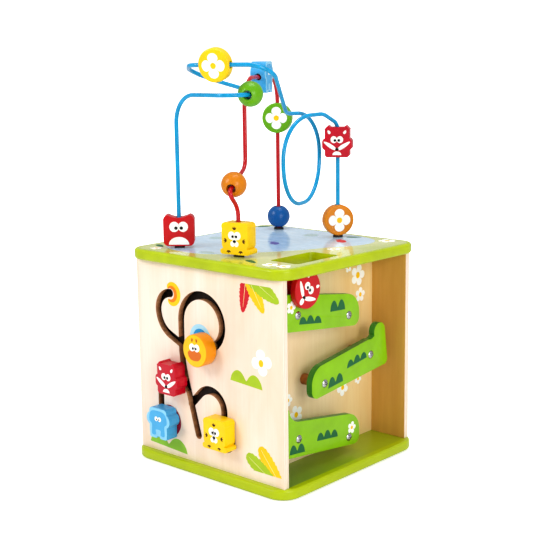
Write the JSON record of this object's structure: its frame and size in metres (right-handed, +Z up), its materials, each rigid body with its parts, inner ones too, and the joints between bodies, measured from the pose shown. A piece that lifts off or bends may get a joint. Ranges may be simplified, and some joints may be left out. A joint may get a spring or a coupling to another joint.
{
  "type": "activity cube",
  "caption": "Wooden activity cube for babies: a wire bead maze on top, a grooved panel with sliding animal knobs, and an open run of ramps with a roller.",
  "frame": {"origin": "centre of the bottom plate's underside", "axes": "+Z up; the grooved maze panel faces -Y and the open roller run faces +X"},
  "size_m": [0.3, 0.311, 0.5925],
  "materials": {
    "lime_paint": "satin paint",
    "birch_ply": "clear matt lacquer",
    "dark_board": "dark stain",
    "green_paint": "satin paint",
    "brown_dowel": "stained",
    "plain_dowel": "bare",
    "screw_steel": "plated",
    "blue_coating": "gloss coating over steel wire",
    "red_coating": "gloss coating over steel wire",
    "black_rubber": "matt",
    "red_paint": "gloss paint",
    "yellow_paint": "gloss paint",
    "sky_paint": "gloss paint",
    "orange_paint": "gloss paint",
    "leaf_paint": "gloss paint",
    "blue_paint": "gloss paint"
  },
  "bodies": {
    "cube": {"bottom_plate": "lime_paint", "top_plate": "lime_paint", "maze_panel": "birch_ply", "maze_backing": "dark_board", "run_panel": "birch_ply", "side_panel": "birch_ply", "rear_panel": "birch_ply", "ramp_top": "green_paint", "ramp_middle": "green_paint", "ramp_low": "green_paint", "ramp_spacers": "brown_dowel", "ramp_screws": "screw_steel", "blue_wire": "blue_coating", "red_wire": "red_coating", "wire_ferrules": "black_rubber"},
    "roller_carriage": {"roller_axle": "red_paint"},
    "roller_discs": {"roller_front_disc": "red_paint", "roller_back_disc": "red_paint"},
    "owl_bead": {"owl_bead": "red_paint"},
    "leopard_bead": {"leopard_bead": "yellow_paint"},
    "fox_bead": {"fox_bead": "red_paint"},
    "elephant_bead": {"elephant_bead": "sky_paint"},
    "orange_ball": {"orange_ball": "orange_paint"},
    "green_ball": {"green_ball": "leaf_paint"},
    "blue_ball": {"blue_ball": "blue_paint"},
    "yellow_flower": {"yellow_flower": "yellow_paint"},
    "green_flower": {"green_flower": "leaf_paint"},
    "orange_flower": {"orange_flower": "orange_paint"},
    "chick_slider": {"chick_knob": "orange_paint", "chick_stem": "plain_dowel", "chick_keeper": "plain_dowel"},
    "fox_slider": {"fox_knob": "red_paint", "fox_stem": "plain_dowel", "fox_keeper": "plain_dowel"},
    "elephant_slider": {"elephant_knob": "sky_paint", "elephant_stem": "plain_dowel", "elephant_keeper": "plain_dowel"},
    "leopard_slider": {"leopard_knob": "yellow_paint", "leopard_stem": "plain_dowel", "leopard_keeper": "plain_dowel"}
  },
  "joints": [
    {"name": "owl_bead_slide", "type": "slide", "parent": "cube", "child": "owl_bead", "axis": [0, 0, 1], "range_m": [0, 0.12]},
    {"name": "leopard_bead_spin", "type": "hinge", "parent": "cube", "child": "leopard_bead", "pos_m": [0.027, -0.101, 0.3375], "axis": [0, 0, 1], "continuous": true},
    {"name": "fox_bead_slide", "type": "slide", "parent": "cube", "child": "fox_bead", "axis": [0, 0, 1], "range_m": [-0.032, 0]},
    {"name": "orange_flower_slide", "type": "slide", "parent": "cube", "child": "orange_flower", "axis": [0, 0, 1], "range_m": [0, 0.032]},
    {"name": "elephant_bead_slide", "type": "slide", "parent": "cube", "child": "elephant_bead", "axis": [-0.4581, 0.8889, 0], "range_m": [-0.025, 0.02]},
    {"name": "orange_ball_slide", "type": "slide", "parent": "cube", "child": "orange_ball", "axis": [-0.4631, 0.8428, 0.2743], "range_m": [-0.002, 0.034]},
    {"name": "green_ball_spin", "type": "hinge", "parent": "cube", "child": "green_ball", "pos_m": [0.01937, -0.06492, 0.52954], "axis": [-0.4464, 0.891, 0.0828], "continuous": true},
    {"name": "blue_ball_slide", "type": "slide", "parent": "cube", "child": "blue_ball", "axis": [0, 0, 1], "range_m": [0, 0.054]},
    {"name": "green_flower_slide", "type": "slide", "parent": "cube", "child": "green_flower", "axis": [0, 0, 1], "range_m": [-0.054, 0.002]},
    {"name": "yellow_flower_slide", "type": "slide", "parent": "cube", "child": "yellow_flower", "axis": [0.9479, 0.3187, 0], "range_m": [-0.002, 0.02]},
    {"name": "chick_knob_travel", "type": "hinge", "parent": "cube", "child": "chick_slider", "pos_m": [-0.003, -0.14, 0.2185], "axis": [0, -1, 0], "range_deg": [0, 88]},
    {"name": "fox_knob_travel", "type": "hinge", "parent": "cube", "child": "fox_slider", "pos_m": [-0.069, -0.14, 0.108], "axis": [0, -1, 0], "range_deg": [-20, 18]},
    {"name": "elephant_knob_travel", "type": "hinge", "parent": "cube", "child": "elephant_slider", "pos_m": [-0.072, -0.14, 0.088], "axis": [0, -1, 0], "range_deg": [-24, 0]},
    {"name": "leopard_knob_travel", "type": "slide", "parent": "cube", "child": "leopard_slider", "axis": [0, 0, 1], "range_m": [-0.01, 0.026]},
    {"name": "roller_travel", "type": "slide", "parent": "cube", "child": "roller_carriage", "axis": [0, 0.989, -0.1478], "range_m": [-0.004, 0.1]},
    {"name": "roller_spin", "type": "hinge", "parent": "roller_carriage", "child": "roller_discs", "pos_m": [0.113, -0.07624, 0.2743], "axis": [1, 0, 0], "continuous": true}
  ],
  "couplings": [
    {"joint": "roller_spin", "follows": "roller_travel", "rad_per_m": -117.65}
  ]
}
